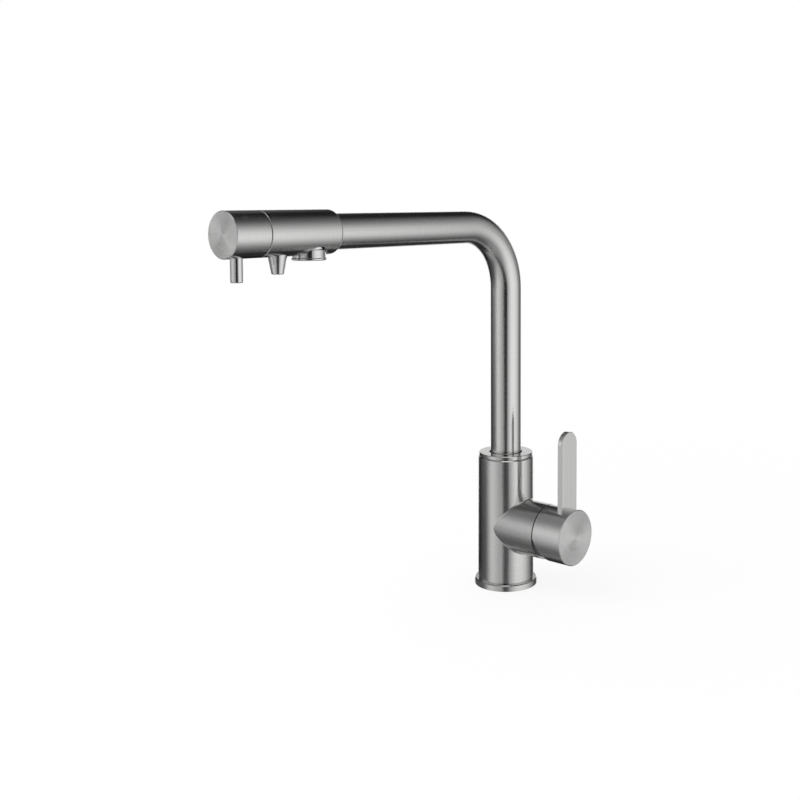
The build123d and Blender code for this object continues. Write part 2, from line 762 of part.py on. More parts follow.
# Filtered water tube on the same centre line, from the core's socket to the head
with BuildPart() as filter_tube:
    with BuildLine(Plane.YZ) as filter_path:
        FilletPolyline((0, filter_tube_foot_z), (0, arm_z), (-filter_tube_end, arm_z), radius=bend_r)
    with BuildSketch(Plane.XY.offset(filter_tube_foot_z)):
        annulus(filter_tube_r, filter_tube_r - filter_tube_wall)
    sweep(path=filter_path.wire())
filter_tube.part.label = "filter_tube"

# Spout head: tube socket, mixed chamber, valve bore, and seats for the aerator and the nozzle
with BuildPart() as spout_head:
    with BuildSketch(arm_section):
        outline(
            (head_start, 0),
            (head_start, head_r),
            (head_end - head_edge, head_r),
            (head_end, head_r - head_edge),
            (head_end, 0),
        )
    revolve(axis=arm_axis)
    fillet(
        spout_head.edges().group_by(Axis.Y)[-1],
        min(head_shoulder, head_r - spout_r - head_rim),
    )
    with BuildSketch(across_arm(head_start)):
        Circle(spout_r + fit_gap)
    extrude(amount=head_socket + fit_gap, mode=Mode.SUBTRACT)
    with BuildSketch(across_arm(spout_end)):
        Circle(head_chamber_d / 2)
    extrude(amount=head_chamber_l, mode=Mode.SUBTRACT)
    with BuildSketch(across_arm(head_chamber_end)):
        Circle(filter_tube_r + fit_gap)
    extrude(amount=head_filter_socket + fit_gap, mode=Mode.SUBTRACT)
    with BuildSketch(across_arm(filter_tube_end)):
        Circle(filter_tube_r - filter_tube_wall)
    extrude(amount=valve_seat_s - filter_tube_end, mode=Mode.SUBTRACT)
    with BuildSketch(across_arm(valve_seat_s)):
        Circle(valve_bore_r)
    extrude(amount=head_end - valve_seat_s, mode=Mode.SUBTRACT)
    with BuildSketch(below_arm(aerator_s, aerator_top_z)):
        Circle(aerator_foot_r + aerator_recess_gap)
    extrude(amount=-head_r, mode=Mode.SUBTRACT)
    with BuildSketch(below_arm(aerator_s, aerator_top_z)):
        Circle(aerator_neck_d / 2 + fit_gap)
    extrude(amount=aerator_neck_h + fit_gap, mode=Mode.SUBTRACT)
    with BuildSketch(below_arm(nozzle_s, nozzle_seat_z + fit_gap)):
        Circle(nozzle_top_r + fit_gap)
    extrude(amount=-head_r, mode=Mode.SUBTRACT)
    with BuildSketch(below_arm(nozzle_s, nozzle_seat_z)):
        Circle(nozzle_neck_d / 2 + fit_gap)
    extrude(amount=arm_z - nozzle_seat_z, mode=Mode.SUBTRACT)
spout_head.part.label = "spout_head"

# Aerator: round housing with a groove under its collar, insert with outlet holes and washer
with BuildPart() as aerator_nut:
    with BuildSketch(Plane(origin=(0, -aerator_s, 0), x_dir=(1, 0, 0), z_dir=(0, -1, 0))):
        outline(
            (0, aerator_bottom_z),
            (aerator_foot_r - aerator_edge, aerator_bottom_z),
            (aerator_foot_r, aerator_bottom_z + aerator_edge),
            (aerator_foot_r, aerator_foot_z),
            (aerator_drum_r, aerator_foot_z + aerator_edge),
            (aerator_drum_r, aerator_drum_z - aerator_edge),
            (aerator_drum_r - aerator_edge, aerator_drum_z),
            (aerator_groove_r, aerator_drum_z),
            (aerator_groove_r, aerator_collar_z),
            (aerator_collar_r, aerator_collar_z),
            (aerator_collar_r, aerator_collar_z + aerator_collar_h),
            (aerator_groove_r, aerator_top_z),
            (0, aerator_top_z),
        )
    revolve(axis=Axis((0, -aerator_s, 0), (0, 0, 1)))
    with BuildSketch(below_arm(aerator_s, aerator_top_z)):
        Circle(aerator_neck_d / 2)
    extrude(amount=aerator_neck_h)
    with BuildSketch(below_arm(aerator_s, aerator_bottom_z)):
        Circle(aerator_bore_r)
    extrude(amount=insert_recess + insert_h + washer_h, mode=Mode.SUBTRACT)
    with BuildSketch(below_arm(aerator_s, aerator_bottom_z)):
        Circle(aerator_outlet_d / 2)
    extrude(amount=aerator_top_z + aerator_neck_h - aerator_bottom_z, mode=Mode.SUBTRACT)
aerator_nut.part.label = "aerator_nut"

with BuildPart() as aerator_insert:
    with BuildSketch(below_arm(aerator_s, insert_z)):
        Circle(aerator_bore_r - fit_gap)
    extrude(amount=insert_h)
    with BuildSketch(below_arm(aerator_s, insert_z + insert_floor)):
        Circle(aerator_bore_r - fit_gap - insert_wall)
    extrude(amount=insert_h - insert_floor, mode=Mode.SUBTRACT)
    with BuildSketch(below_arm(aerator_s, insert_z)):
        with HexLocations(insert_hole_pitch / 2, insert_hole_rows, insert_hole_rows):
            Circle(insert_hole_d / 2)
    extrude(amount=insert_floor, mode=Mode.SUBTRACT)
aerator_insert.part.label = "aerator_insert"

with BuildPart() as aerator_washer:
    with BuildSketch(below_arm(aerator_s, washer_z)):
        annulus(aerator_bore_r - fit_gap, aerator_outlet_d / 2)
    extrude(amount=washer_h)
aerator_washer.part.label = "aerator_washer"

# Cone nozzle for filtered water
with BuildPart() as filter_nozzle:
    with BuildSketch(Plane(origin=(0, -nozzle_s, 0), x_dir=(1, 0, 0), z_dir=(0, -1, 0))):
        outline(
            (nozzle_bore_d / 2, nozzle_bottom_z),
            (nozzle_bottom_d / 2, nozzle_bottom_z),
            (nozzle_top_r, nozzle_seat_z),
            (nozzle_neck_d / 2, nozzle_seat_z),
            (nozzle_neck_d / 2, nozzle_seat_z + nozzle_neck_h),
            (nozzle_bore_d / 2, nozzle_seat_z + nozzle_neck_h),
        )
    revolve(axis=Axis((0, -nozzle_s, 0), (0, 0, 1)))
    fillet(filter_nozzle.edges().group_by(Axis.Z)[0].sort_by(SortBy.RADIUS)[-1], nozzle_edge)
filter_nozzle.part.label = "filter_nozzle"

# Filtered water valve: seat washer, fixed disc and headpart sleeve in the head
with BuildPart() as valve_seat_washer:
    with BuildSketch(across_arm(valve_seat_s)):
        annulus(valve_bore_r - fit_gap, valve_hole_r + valve_hole_d / 2)
    extrude(amount=valve_seat_h)
valve_seat_washer.part.label = "valve_seat_washer"

with BuildPart() as valve_fixed_disc:
    with BuildSketch(across_arm(valve_fixed_s)):
        Circle(valve_bore_r - fit_gap)
        with Locations((0, valve_hole_r), (0, -valve_hole_r)):
            Circle(valve_hole_d / 2, mode=Mode.SUBTRACT)
    extrude(amount=valve_fixed_h)
valve_fixed_disc.part.label = "valve_fixed_disc"

with BuildPart() as valve_headpart:
    with BuildSketch(arm_section):
        outline(
            (valve_moving_s, valve_sleeve_bore_r),
            (valve_moving_s, valve_sleeve_r),
            (head_end, valve_sleeve_r),
            (head_end, spindle_r + running_gap),
            (valve_chamber_end, spindle_r + running_gap),
            (valve_chamber_end, valve_sleeve_bore_r),
        )
    revolve(axis=arm_axis)
    with BuildSketch(below_arm(nozzle_s, nozzle_seat_z)):
        Circle(nozzle_bore_d / 2)
    extrude(amount=arm_z - nozzle_seat_z, mode=Mode.SUBTRACT)
valve_headpart.part.label = "valve_headpart"

# Moving part of that valve: disc, spindle, ring, knob and the small lever pin
with BuildPart() as valve_moving_disc:
    with BuildSketch(across_arm(valve_moving_s)):
        Circle(valve_disc_r)
        with Locations((valve_hole_r, 0), (-valve_hole_r, 0)):
            Circle(valve_hole_d / 2, mode=Mode.SUBTRACT)
    extrude(amount=valve_moving_h)
valve_moving_disc.part.label = "valve_moving_disc"

with BuildPart() as valve_spindle:
    with BuildSketch(across_arm(valve_flange_s)):
        Circle(valve_disc_r)
        with Locations((valve_hole_r, 0), (-valve_hole_r, 0)):
            Circle(valve_hole_d / 2, mode=Mode.SUBTRACT)
    extrude(amount=valve_flange_h)
    with BuildSketch(across_arm(valve_chamber_s)):
        Circle(spindle_r)
    extrude(amount=spindle_end - valve_chamber_s)
    with BuildSketch(across_arm(spindle_ring_s - spindle_ring_section_d / 2)):
        annulus(spindle_r, spindle_r - spindle_ring_section_d)
    extrude(amount=spindle_ring_section_d, mode=Mode.SUBTRACT)
    with BuildSketch(below_arm(lever_pin_s, arm_z - spindle_r)):
        Circle(lever_pin_stub_d / 2 + fit_gap)
    extrude(amount=lever_pin_bite + fit_gap, mode=Mode.SUBTRACT)
valve_spindle.part.label = "valve_spindle"

with BuildPart() as spindle_ring:
    with Locations((0, -spindle_ring_s, arm_z)):
        Torus(
            spindle_r - spindle_ring_section_d / 2,
            spindle_ring_section_d / 2 - fit_gap,
            rotation=(90, 0, 0),
        )
spindle_ring.part.label = "spindle_ring"

with BuildPart() as filter_knob:
    with BuildSketch(across_arm(valve_knob_s)):
        Circle(head_r)
    extrude(amount=valve_knob_end - valve_knob_s)
    chamfer(filter_knob.edges().group_by(Axis.Y)[0], valve_knob_edge)
    chamfer(filter_knob.edges().group_by(Axis.Y)[-1], head_edge)
    with BuildSketch(across_arm(valve_knob_s)):
        Circle(spindle_r + fit_gap)
    extrude(amount=spindle_end + fit_gap - valve_knob_s, mode=Mode.SUBTRACT)
    with BuildSketch(below_arm(lever_pin_s, lever_pin_seat_z)):
        Circle(lever_pin_r + fit_gap)
    extrude(amount=-head_r, mode=Mode.SUBTRACT)
    with BuildSketch(below_arm(lever_pin_s, lever_pin_seat_z)):
        Circle(lever_pin_stub_d / 2 + fit_gap)
    extrude(amount=arm_z - lever_pin_seat_z, mode=Mode.SUBTRACT)
filter_knob.part.label = "filter_knob"

with BuildPart() as filter_lever_pin:
    with BuildSketch(below_arm(lever_pin_s, lever_pin_bottom_z)):
        Circle(lever_pin_r)
    extrude(amount=lever_pin_seat_z - lever_pin_bottom_z)
    fillet(filter_lever_pin.edges().group_by(Axis.Z)[0], lever_pin_edge)
    with BuildSketch(below_arm(lever_pin_s, lever_pin_seat_z)):
        Circle(lever_pin_stub_d / 2)
    extrude(amount=lever_pin_top_z - lever_pin_seat_z)
filter_lever_pin.part.label = "filter_lever_pin"

pieces = [
    base_flange, deck_gasket, body_shell, valve_core, filter_socket_ring, spout_cap_ring,
    lower_bearing_ring, upper_bearing_ring, spout_circlip,
    cartridge_base, cartridge_seals, ceramic_fixed_disc, cartridge_housing, cartridge_nut, trim_dome,
    cartridge_carrier, pivot_pin, disc_slider, ceramic_moving_disc,
    cartridge_stem, handle_knob, handle_grub_screw, lever_plate,
    spout_tube, spout_ferrule, ferrule_rings, filter_tube, spout_head,
    aerator_nut, aerator_insert, aerator_washer, filter_nozzle,
    valve_seat_washer, valve_fixed_disc, valve_headpart,
    valve_moving_disc, valve_spindle, spindle_ring, filter_knob, filter_lever_pin,
]

os.makedirs("parts", exist_ok=True)
for piece in pieces:
    export_step(piece.part, f"parts/{piece.part.label}.step")
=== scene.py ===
"""Looks of a kitchen mixer tap: satin steel, polished fittings, and the studio round it."""

import math

import bpy
from bpy.props import FloatProperty, FloatVectorProperty, PointerProperty
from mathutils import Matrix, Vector


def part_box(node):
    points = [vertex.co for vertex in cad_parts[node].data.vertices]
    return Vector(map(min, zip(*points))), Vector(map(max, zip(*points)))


bl_info = {
    "name": "Kitchen mixer tap",
    "version": (1, 0, 0),
    "blender": (4, 5, 0),
    "location": "View3D > Sidebar > Tap",
    "description": "Finishes of a kitchen mixer tap and the studio it stands in",
    "category": "Object",
}

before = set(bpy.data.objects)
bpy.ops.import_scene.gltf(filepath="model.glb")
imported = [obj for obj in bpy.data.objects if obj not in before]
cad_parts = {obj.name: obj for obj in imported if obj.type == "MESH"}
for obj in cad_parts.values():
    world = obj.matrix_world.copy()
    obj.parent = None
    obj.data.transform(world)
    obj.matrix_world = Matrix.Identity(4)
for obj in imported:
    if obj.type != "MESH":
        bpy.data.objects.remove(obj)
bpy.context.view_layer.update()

# Places in the frame, in metres
head_low, head_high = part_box("spout_head")
arm_height = (head_low.z + head_high.z) / 2
bend_radius = 0.05
knob_low, knob_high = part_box("handle_knob")
lever_height = (knob_low.z + knob_high.z) / 2

# Camera: place in metres, angles, focal length in millimetres, and shift in picture widths
camera_place = Vector((0.5845, -0.7006, 0.31805))
camera_bearing = math.radians(39.84)
camera_dip = math.radians(4.193)
camera_lens = 50.68
camera_shift = (-0.1322, -0.1513)

# Soft lamp, in metres
lamp_place = Vector((-0.5, -1.1, 1.6))
lamp_aim = Vector((0, 0, 0.15))
lamp_width = 1.2

# Floor: it turns from a matt surface near the tap to plain white, between two distances in metres
floor_grey = 0.95
matt_to = 0.1
white_from = 0.9
white_near_tap = 0.85

# Brushed and turned metal: lines per metre, and changes per metre along a line
fine_lines, fine_changes = 1800.0, 18.0
coarse_lines, coarse_changes = 420.0, 9.0
end_lines = 20000.0
tool_lines = 2500.0

# Soft clouds that vary each finish, in spots per metre
steel_clouds = 28.0
polish_clouds = 90.0
turned_clouds = 60.0
moulded_clouds = 45.0

# Darkest and lightest tone of each finish, as shares of its colour
steel_tones = (0.93, 1.06)
polish_tones = (0.97, 1.02)
turned_tones = (0.85, 1.05)
moulded_tones = (0.88, 1.06)

# How far the clouds, and on steel the coarse lines too, change the roughness
steel_cloud_change = 0.06
steel_line_change = 0.05
turned_cloud_change = 0.12
moulded_cloud_change = 0.14

# Depth of smears, tool marks and pores, in metres, and the bumps' filter width, in pixels
smear_depth = 0.00002
tool_depth = 0.00003
pore_depth = 0.00006
bump_filter = 0.02

# Cards that only reflections see. Each has its lowest and highest bearing, counted from the camera
# to its right, its lowest and highest height, how far each of these four sides fades, all in
# degrees, its distance from the centre in metres, and its grey level.
cards = (
    ("left_edge_card", (-156, -78), (-41, 42), (12, 70, 1, 24), 0.38, 0.01),
    ("lens_card", (-41, 13), (-79, 40), (35, 4, 107, 10), 0.64, 0.01),
    ("right_veil", (-21, 49), (-78, 40), (18, 56, 9, 16), 0.71, 0.14),
    ("right_card", (60, 160), (-80, 90), (86, 20, 19, 98), 0.77, 0.05),
    ("left_veil", (-82, 3), (-66, 40), (54, 38, 25, 16), 1.0, 0.55),
    ("back_low_card", (128, 232), (-85, -13), (30, 30, 0, 14), 1.4, 0.03),
    ("left_top_card", (-185, -23), (2, 72), (32, 27, 61, 4), 1.7, 0.22),
    ("back_top_card", (115, 248), (10, 72), (38, 30, 14, 12), 2.0, 0.02),
    ("left_card", (-157, -46), (-69, 39), (24, 51, 13, 61), 2.15, 0.13),
    ("top_card", (-180, 180), (-7, 72), (0, 0, 70, 10), 3.0, 0.05),
    ("low_card", (-180, 180), (-89.9, -11), (0, 0, 0, 44), 3.05, 0.33),
)
card_centre = Vector((0, 0, 0.15))
card_columns = 48
card_rows = 32


class Value:
    """A socket in a material, with arithmetic that adds Math nodes."""

    def __init__(self, shader, socket):
        self.shader = shader
        self.socket = socket

    def maths(self, operation, first, second=None):
        values = {0: first} if second is None else {0: first, 1: second}
        return self.shader.node("ShaderNodeMath", {"operation": operation}, values)

    def __add__(self, other):
        return self.maths("ADD", self, other)

    def __radd__(self, other):
        return self.maths("ADD", other, self)

    def __sub__(self, other):
        return self.maths("SUBTRACT", self, other)

    def __rsub__(self, other):
        return self.maths("SUBTRACT", other, self)

    def __mul__(self, other):
        return self.maths("MULTIPLY", self, other)

    def __rmul__(self, other):
        return self.maths("MULTIPLY", other, self)

    def __abs__(self):
        return self.maths("ABSOLUTE", self)

    def root(self):
        return self.maths("SQRT", self)

    def largest(self, other):
        return self.maths("MAXIMUM", self, other)

    def smallest(self, other):
        return self.maths("MINIMUM", self, other)

    def angle_to(self, other):
        return self.maths("ARCTAN2", self, other)


class Shader:
    """The node tree of one material or of the world."""

    def __init__(self, tree):
        self.tree = tree
        tree.nodes.clear()

    def node(self, kind, settings, sockets, output=0):
        """Adds a node: settings first, then the values or links of its sockets."""
        made = self.tree.nodes.new(kind)
        for name, setting in settings.items():
            setattr(made, name, setting)
        for name, value in sockets.items():
            socket = made.inputs[name] if isinstance(name, int) else self.open_socket(made, name)
            if isinstance(value, Value):
                self.tree.links.new(value.socket, socket)
            else:
                socket.default_value = value
        if isinstance(output, str):
            output = made.outputs.find(output)
        return Value(self, made.outputs[output]) if made.outputs else None

    def open_socket(self, made, name):
        return next(socket for socket in made.inputs if socket.name == name and socket.enabled)

    def place(self):
        """The point on the surface in the frame, in metres."""
        return self.node("ShaderNodeTexCoord", {}, {}, "Object")

    def facing(self, axis):
        """How squarely the surface faces along an axis, from 0 to 1."""
        return abs(self.axes(self.node("ShaderNodeTexCoord", {}, {}, "Normal"))[axis])

    def axes(self, vector):
        split = self.node("ShaderNodeSeparateXYZ", {}, {0: vector})
        outputs = split.socket.node.outputs
        return [Value(self, outputs[i]) for i in range(3)]

    def vector(self, x, y, z):
        return self.node("ShaderNodeCombineXYZ", {}, {0: x, 1: y, 2: z})

    def noise(self, vector, scale, detail=2.0, roughness=0.5):
        return self.node(
            "ShaderNodeTexNoise",
            {},
            {"Vector": vector, "Scale": scale, "Detail": detail, "Roughness": roughness},
        )

    def blend(self, factor, first, second):
        return self.node(
            "ShaderNodeMix", {"data_type": "RGBA"}, {"Factor": factor, "A": first, "B": second}, 2
        )

    def tones(self, factor, colour, shares):
        """A colour that varies between its darkest and its lightest tone."""
        darkest, lightest = shares
        return self.blend(factor, shade(colour, darkest), shade(colour, lightest))

    def cover(self, factor, under, over):
        return self.node("ShaderNodeMixShader", {}, {0: factor, 1: under, 2: over})

    def bump(self, height, distance, strength=1.0):
        return self.node(
            "ShaderNodeBump",
            {},
            {
                "Height": height,
                "Distance": distance,
                "Strength": strength,
                "Filter Width": bump_filter,
            },
        )

    def metal_or_plastic(self, sockets):
        self.output(self.node("ShaderNodeBsdfPrincipled", {}, sockets))

    def output(self, surface):
        self.node("ShaderNodeOutputMaterial", {}, {"Surface": surface})


def material(name):
    made = bpy.data.materials.new(name)
    made.use_nodes = True
    return made, Shader(made.node_tree)


def grey(level):
    return (level, level, level, 1)


def shade(colour, factor):
    return (colour[0] * factor, colour[1] * factor, colour[2] * factor, 1)


def finish_nodes(made, *nodes):
    """Gives a material to CAD nodes, in the slots they have."""
    for node in nodes:
        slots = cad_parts[node].material_slots
        for slot in slots:
            slot.material = made


# Grain coordinates: the lines left by turning or brushing run across the value that is returned


def along_spout(shader):
    """Length along the riser, the bend and the arm."""
    y, z = shader.axes(shader.place())[1:]
    rise = z - (arm_height - bend_radius)
    reach = y + bend_radius
    turn = rise.largest(0.0).angle_to(reach.largest(0.0)) * bend_radius
    return rise.smallest(0.0) + turn - reach.smallest(0.0)


def round_grain(shader, axis, height):
    """Place along a level axis plus distance from it: lines go round the side and the end face."""
    places = shader.axes(shader.place())
    along = places[axis]
    side = places[1 - axis]
    rise = places[2] - height
    return along + (side * side + rise * rise).root()


def satin_steel(name, line, across, painted_light_gain=1.0, end_axis=None, end_painted_light_gain=1.0, marks=1.0):
    """Satin steel with fine lines.

    line gives the value that the lines step along, and across gives two values that change
    slowly along each line. The faces square to end_axis have much finer lines, as deep as
    marks. Both lifts are painted light: the side lift brightens the steel colour of the sides,
    and the end lift gives those faces a brighter steel colour, a painted highlight."""
    finish = bpy.context.scene.tap_finish
    made, shader = material(name)
    grain_place = line(shader)
    side_a, side_b = across(shader)

    def lines(per_metre, changes, roughness):
        place = shader.vector(grain_place * per_metre, side_a * changes, side_b * changes)
        return shader.noise(place, 1.0, roughness=roughness)

    fine = lines(fine_lines, fine_changes, roughness=0.6)
    coarse = lines(coarse_lines, coarse_changes, roughness=0.5)
    cloud = shader.noise(shader.place(), steel_clouds, detail=3.0)
    depth = fine + coarse * 0.7
    tone = (fine * 0.6 + coarse * 0.4) * 0.8 + cloud * 0.2
    # Painted light: the side lift makes this part's steel colour brighter than the plain steel
    colour = shader.tones(tone, shade(finish.steel, painted_light_gain), steel_tones)
    if end_axis is not None:
        end = shader.facing(end_axis)
        rings = shader.noise(shader.vector(grain_place * end_lines, 0.0, 0.0), 1.0, detail=0.0)
        depth = depth * (1.0 - end) + rings * end * marks
        # Painted highlight: faces square to end_axis take a brighter copy of the steel colour
        colour = shader.blend(end, colour, shade(finish.steel, end_painted_light_gain))
    patches = (cloud - 0.5) * steel_cloud_change
    streaks = (coarse - 0.5) * steel_line_change
    shader.metal_or_plastic(
        {
            "Base Color": colour,
            "Metallic": 1.0,
            "Roughness": finish.steel_roughness + patches + streaks,
            "Normal": shader.bump(depth, finish.grain_depth),
        }
    )
    return made


def polished(name, colour, roughness, smear):
    """Polished metal with faint smears."""
    made, shader = material(name)
    cloud = shader.noise(shader.place(), polish_clouds, detail=4.0, roughness=0.6)
    shader.metal_or_plastic(
        {
            "Base Color": shader.tones(cloud, colour, polish_tones),
            "Metallic": 1.0,
            "Roughness": roughness + cloud * smear,
            "Normal": shader.bump(cloud, smear_depth, strength=0.3),
        }
    )
    return made


def turned(name, colour, roughness, axis):
    """Machined metal with tool marks that step along one axis."""
    made, shader = material(name)
    marks = shader.axes(shader.place())[axis]
    tool = shader.noise(shader.vector(marks * tool_lines, 0.0, 0.0), 1.0, detail=1.0)
    cloud = shader.noise(shader.place(), turned_clouds, detail=3.0)
    shader.metal_or_plastic(
        {
            "Base Color": shader.tones(cloud * 0.5 + tool * 0.5, colour, turned_tones),
            "Metallic": 1.0,
            "Roughness": roughness + (cloud - 0.5) * turned_cloud_change,
            "Normal": shader.bump(tool, tool_depth),
        }
    )
    return made


def moulded(name, colour, roughness, grain=700.0):
    """Moulded plastic, rubber or pressed ceramic with a fine grain, in spots per metre."""
    made, shader = material(name)
    pores = shader.noise(shader.place(), grain, detail=3.0)
    cloud = shader.noise(shader.place(), moulded_clouds, detail=3.0)
    shader.metal_or_plastic(
        {
            "Base Color": shader.tones(cloud, colour, moulded_tones),
            "Roughness": roughness + (cloud - 0.5) * moulded_cloud_change,
            "Normal": shader.bump(pores, pore_depth, strength=0.6),
        }
    )
    return made


class TapFinish(bpy.types.PropertyGroup):
    steel: FloatVectorProperty(
        name="Steel",
        description="Colour of the satin steel",
        subtype="COLOR",
        size=3,
        min=0,
        max=1,
        default=(0.68, 0.675, 0.67),
    )
    steel_roughness: FloatProperty(
        name="Steel roughness",
        description="How satin the steel is",
        subtype="FACTOR",
        min=0,
        max=1,
        default=0.12,
    )
    grain_depth: FloatProperty(
        name="Grain depth",
        description="Depth of the brushed lines",
        unit="LENGTH",
        precision=6,
        min=0,
        default=0.00005,
    )
    chrome: FloatVectorProperty(
        name="Chrome",
        description="Colour of the polished fittings",
        subtype="COLOR",
        size=3,
        min=0,
        max=1,
        default=(0.74, 0.74, 0.74),
    )
    brass: FloatVectorProperty(
        name="Brass",
        description="Colour of the core and the valve",
        subtype="COLOR",
        size=3,
        min=0,
        max=1,
        default=(0.78, 0.62, 0.34),
    )


class TapStudio(bpy.types.PropertyGroup):
    room_light: FloatProperty(
        name="Room light",
        description="Level of the light from all round",
        subtype="FACTOR",
        min=0,
        max=1,
        default=0.8,
    )
    lamp_power: FloatProperty(
        name="Lamp power", description="Power of the soft lamp", unit="POWER", min=0, default=14
    )
    floor_size: FloatProperty(
        name="Floor size", description="Width of the floor", unit="LENGTH", min=1, default=12
    )


class TAP_OT_body_finish(bpy.types.Operator):
    """Satin steel on the body, its base flange and its cap ring"""

    bl_idname = "tap.body_finish"
    bl_label = "Body finish"

    def execute(self, context):
        turned_body = satin_steel(
            "body_satin_steel",
            lambda shader: shader.axes(shader.place())[2],
            lambda shader: shader.axes(shader.place())[:2],
        )
        finish_nodes(turned_body, "body_shell", "base_flange", "spout_cap_ring")
        return {"FINISHED"}


class TAP_OT_spout_finish(bpy.types.Operator):
    """Satin steel on the spout's tube and head, and on the filtered water knob, with painted light
    that brightens the tube and the end faces of the head and the small knob
    """

    bl_idname = "tap.spout_finish"
    bl_label = "Spout finish"

    def execute(self, context):
        tube = satin_steel(
            "spout_satin_steel_painted_light",
            along_spout,
            lambda shader: (shader.axes(shader.place())[0], 0.0),
            # Painted light: a slightly brighter copy of the steel colour
            painted_light_gain=1.05,
        )
        head = satin_steel(
            "head_satin_steel_painted_highlight",
            lambda shader: round_grain(shader, 1, arm_height),
            lambda shader: shader.axes(shader.place())[::2],
            end_axis=1,
            # Painted highlight: the end faces take a brighter copy of the steel colour
            end_painted_light_gain=1.25,
        )
        finish_nodes(tube, "spout_tube")
        finish_nodes(head, "spout_head", "filter_knob")
        return {"FINISHED"}


class TAP_OT_lever_finish(bpy.types.Operator):
    """Satin steel on the lever's knob and plate, brightened by painted light, with a painted
    highlight on the knob's end face
    """

    bl_idname = "tap.lever_finish"
    bl_label = "Lever finish"

    def execute(self, context):
        knob = satin_steel(
            "knob_satin_steel_painted_light",
            lambda shader: round_grain(shader, 0, lever_height),
            lambda shader: shader.axes(shader.place())[1:],
            # Painted light on the sides and a painted highlight on the end face: brighter copies
            # of the steel colour
            painted_light_gain=1.2,
            end_axis=0,
            end_painted_light_gain=1.35,
            marks=1.2,
        )
        plate = satin_steel(
            "plate_satin_steel_painted_light",
            lambda shader: shader.axes(shader.place())[1],
            lambda shader: shader.axes(shader.place())[::2],
            # Painted light: a brighter copy of the steel colour
            painted_light_gain=1.3,
        )
        finish_nodes(knob, "handle_knob")
        finish_nodes(plate, "lever_plate")
        return {"FINISHED"}


class TAP_OT_fitting_finish(bpy.types.Operator):
    """Polished chrome on the aerator, the nozzle and the small knob's pin"""

    bl_idname = "tap.fitting_finish"
    bl_label = "Fitting finish"

    def execute(self, context):
        finish = context.scene.tap_finish
        chrome = polished("polished_chrome", finish.chrome, roughness=0.02, smear=0.03)
        finish_nodes(chrome, "aerator_nut", "filter_nozzle", "filter_lever_pin")
        insert = moulded("insert_plastic", (0.8, 0.8, 0.8), roughness=0.45)
        finish_nodes(insert, "aerator_insert")
        return {"FINISHED"}


class TAP_OT_inner_finish(bpy.types.Operator):
    """Brass, plastic, ceramic, spring steel and rubber on the pieces inside"""

    bl_idname = "tap.inner_finish"
    bl_label = "Inner finish"

    def execute(self, context):
        finish = context.scene.tap_finish
        finish_nodes(
            turned("machined_brass", finish.brass, roughness=0.3, axis=2),
            "valve_core",
            "spout_ferrule",
            "cartridge_nut",
            "valve_headpart",
            "valve_spindle",
        )
        finish_nodes(
            turned("drawn_steel_tube", (0.6, 0.6, 0.6), roughness=0.3, axis=0), "filter_tube"
        )
        finish_nodes(
            turned("spring_steel", (0.5, 0.5, 0.5), roughness=0.28, axis=0),
            "spout_circlip",
            "pivot_pin",
            "cartridge_stem",
            "handle_grub_screw",
        )
        finish_nodes(
            moulded("black_rubber", (0.05, 0.05, 0.05), roughness=0.65),
            "deck_gasket",
            "filter_socket_ring",
            "cartridge_seals",
            "ferrule_rings",
            "aerator_washer",
            "valve_seat_washer",
            "spindle_ring",
        )
        finish_nodes(
            moulded("bearing_plastic", (0.85, 0.85, 0.82), roughness=0.4),
            "lower_bearing_ring",
            "upper_bearing_ring",
        )
        finish_nodes(
            moulded("cartridge_plastic", (0.6, 0.6, 0.58), roughness=0.45),
            "cartridge_base",
            "cartridge_housing",
            "cartridge_carrier",
            "disc_slider",
        )
        finish_nodes(moulded("dark_trim", (0.06, 0.06, 0.06), roughness=0.4), "trim_dome")
        finish_nodes(
            moulded("white_ceramic", (0.93, 0.92, 0.88), roughness=0.2, grain=1500.0),
            "ceramic_fixed_disc",
            "ceramic_moving_disc",
            "valve_fixed_disc",
            "valve_moving_disc",
        )
        return {"FINISHED"}


def add_camera(scene):
    camera = bpy.data.objects.new("camera", bpy.data.cameras.new("camera"))
    scene.collection.objects.link(camera)
    camera.location = camera_place
    camera.rotation_euler = (math.pi / 2 - camera_dip, 0, camera_bearing)
    camera.data.lens = camera_lens
    camera.data.shift_x, camera.data.shift_y = camera_shift
    camera.data.clip_start = 0.01
    scene.camera = camera


def light_room(scene, level):
    """A room that looks white and sends plain light of this level on everything else."""
    world = bpy.data.worlds.new("room")
    world.use_nodes = True
    scene.world = world
    shader = Shader(world.node_tree)
    seen = shader.node("ShaderNodeLightPath", {}, {}, "Is Camera Ray")
    glossy = shader.node("ShaderNodeLightPath", {}, {}, "Is Glossy Ray")
    through = shader.node("ShaderNodeLightPath", {}, {}, "Is Transmission Ray")
    direct = seen.largest(glossy).largest(through)
    strength = direct * (1.0 - level) + level
    room = shader.node("ShaderNodeBackground", {}, {"Color": grey(1), "Strength": strength})
    shader.node("ShaderNodeOutputWorld", {}, {"Surface": room})


def add_lamp(scene, power):
    lamp = bpy.data.objects.new("soft_lamp", bpy.data.lights.new("soft_lamp", "AREA"))
    lamp.data.shape = "DISK"
    lamp.data.size = lamp_width
    lamp.data.energy = power
    lamp.location = lamp_place
    lamp.rotation_euler = (lamp_aim - lamp_place).to_track_quat("-Z", "Y").to_euler()
    lamp.visible_glossy = False
    scene.collection.objects.link(lamp)


